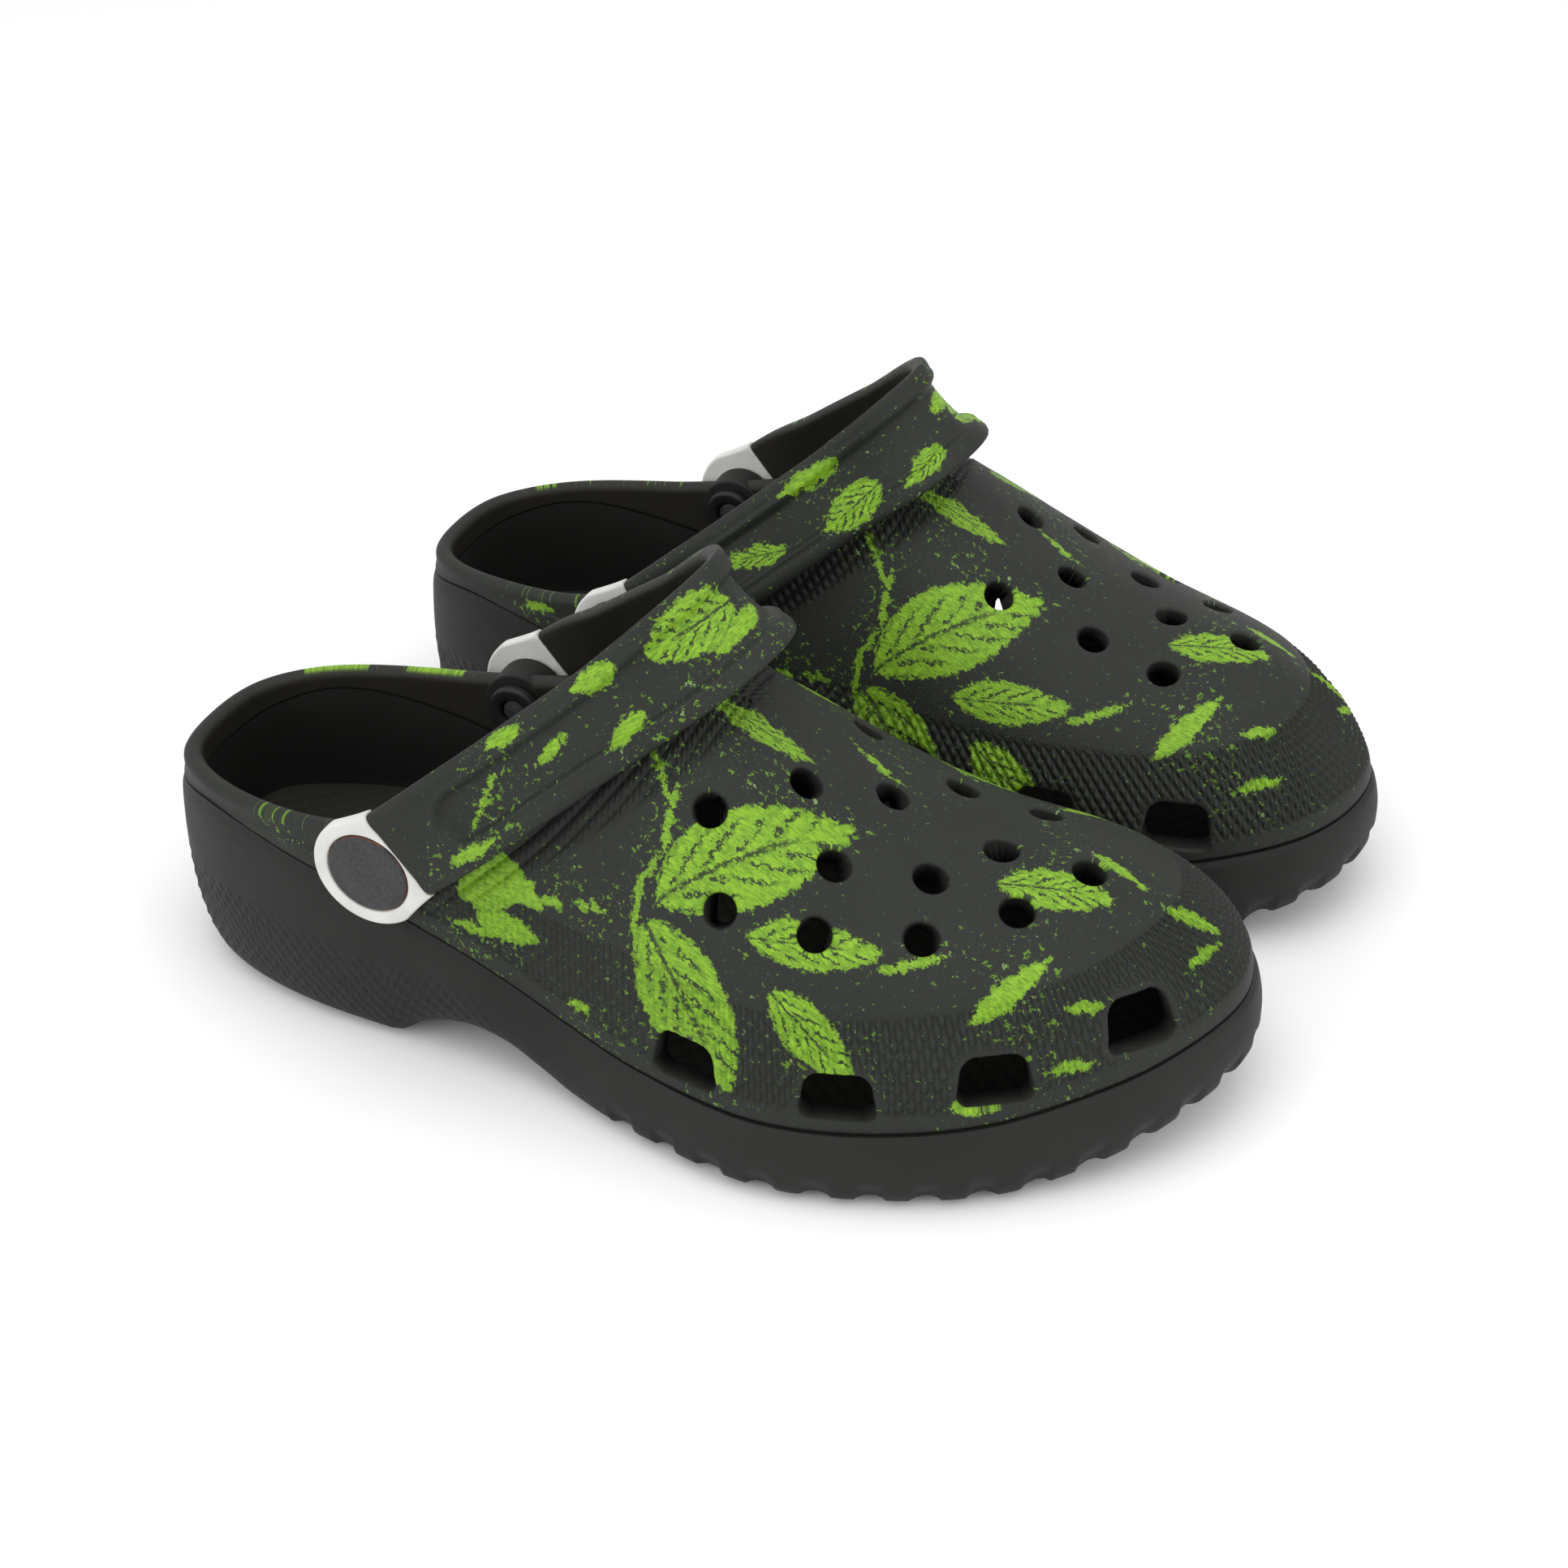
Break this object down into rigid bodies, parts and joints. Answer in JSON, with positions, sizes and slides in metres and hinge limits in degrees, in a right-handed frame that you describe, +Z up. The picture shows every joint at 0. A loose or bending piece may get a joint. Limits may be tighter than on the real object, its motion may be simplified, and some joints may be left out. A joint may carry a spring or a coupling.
{
  "type": "rubber garden clog",
  "caption": "Pair of slip-on foam rubber garden clogs with vented toe box, thick cup sole and swinging heel strap; dark with green leaf print.",
  "frame": {"origin": "under the middle of the pair, on the floor: bottom centre of the bounding box", "axes": "+X towards the toes, +Z up, +Y from the right clog towards the left clog"},
  "size_m": [0.2974, 0.246, 0.13],
  "materials": {
    "upper": "matte moulded foam rubber, charcoal, with a green leaf print",
    "sole": "matte moulded foam rubber, near black, fine dimples on the heel",
    "insole": "matte soft foam rubber, near black",
    "strap": "matte moulded foam rubber, charcoal, with a green leaf print",
    "strap_end": "plain off-white foam rubber",
    "button": "grained dark grey plastic",
    "socket": "smooth black plastic"
  },
  "bodies": {
    "right_clog": {"right_sole": "sole", "right_upper": "upper", "right_insole": "insole", "right_rivet_button_outer": "button", "right_rivet_socket_outer": "socket", "right_rivet_button_inner": "button", "right_rivet_socket_inner": "socket"},
    "right_strap": {"right_strap_band": "strap", "right_strap_end_outer": "strap_end", "right_strap_end_inner": "strap_end"},
    "left_clog": {"left_sole": "sole", "left_upper": "upper", "left_insole": "insole", "left_rivet_button_outer": "button", "left_rivet_socket_outer": "socket", "left_rivet_button_inner": "button", "left_rivet_socket_inner": "socket"},
    "left_strap": {"left_strap_band": "strap", "left_strap_end_outer": "strap_end", "left_strap_end_inner": "strap_end"}
  },
  "joints": [
    {"name": "right_strap_hinge", "type": "hinge", "parent": "right_clog", "child": "right_strap", "pos_m": [-0.0683, -0.0585, 0.0575], "axis": [0, -1, 0], "range_deg": [0, 112]},
    {"name": "left_strap_hinge", "type": "hinge", "parent": "left_clog", "child": "left_strap", "pos_m": [-0.0583, 0.0585, 0.0575], "axis": [0, -1, 0], "range_deg": [0, 112]},
    {"name": "left_clog_apart", "type": "slide", "parent": "right_clog", "child": "left_clog", "axis": [0, 1, 0], "range_m": [0, 0.2]}
  ]
}
